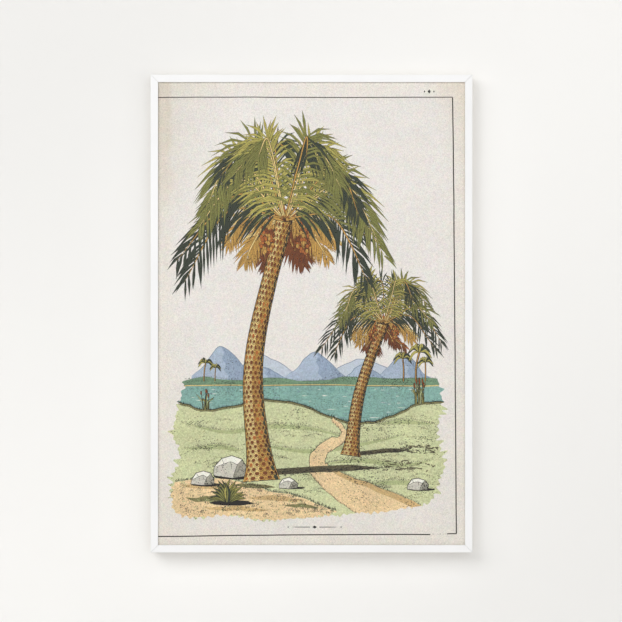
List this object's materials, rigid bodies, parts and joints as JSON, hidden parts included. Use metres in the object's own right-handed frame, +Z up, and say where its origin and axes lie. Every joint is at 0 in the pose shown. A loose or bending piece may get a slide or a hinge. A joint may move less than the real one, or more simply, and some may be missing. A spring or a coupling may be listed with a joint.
{
  "type": "framed print",
  "caption": "Upright print behind clear glazing in a slim square mitred frame, with a recessed back, a toothed hanger and felt pads that hold it flat to a wall.",
  "frame": {"origin": "where the wall hook bears, at the top of the hanger's middle notch, on the wall plane", "axes": "+X to the viewer's right, +Y into the wall so that the front faces -Y, +Z up"},
  "size_m": [0.4126, 0.024, 0.6126],
  "materials": {
    "lacquer": "smooth satin white lacquer on wood",
    "acrylic": "clear acrylic sheet with a low reflection",
    "paper": "matte printed paper, an aged cream ground with inks and flat tints",
    "fibreboard": "bare brown medium-density fibreboard, matte",
    "zinc_steel": "thin bright zinc plate on stamped steel",
    "felt": "grey pressed wool felt"
  },
  "bodies": {
    "root": {"rail_top": "lacquer", "rail_right": "lacquer", "rail_bottom": "lacquer", "rail_left": "lacquer", "glazing": "acrylic", "print": "paper", "backing_board": "fibreboard", "point_top_1": "zinc_steel", "point_top_2": "zinc_steel", "point_top_3": "zinc_steel", "point_right_1": "zinc_steel", "point_right_2": "zinc_steel", "point_right_3": "zinc_steel", "point_right_4": "zinc_steel", "point_bottom_1": "zinc_steel", "point_bottom_2": "zinc_steel", "point_bottom_3": "zinc_steel", "point_left_1": "zinc_steel", "point_left_2": "zinc_steel", "point_left_3": "zinc_steel", "point_left_4": "zinc_steel", "v_nail_top_right": "zinc_steel", "v_nail_right_bottom": "zinc_steel", "v_nail_bottom_left": "zinc_steel", "v_nail_left_top": "zinc_steel", "hanger_nail_left": "zinc_steel", "hanger_nail_right": "zinc_steel", "hanger": "zinc_steel", "pad_left": "felt", "pad_right": "felt"}
  },
  "joints": []
}
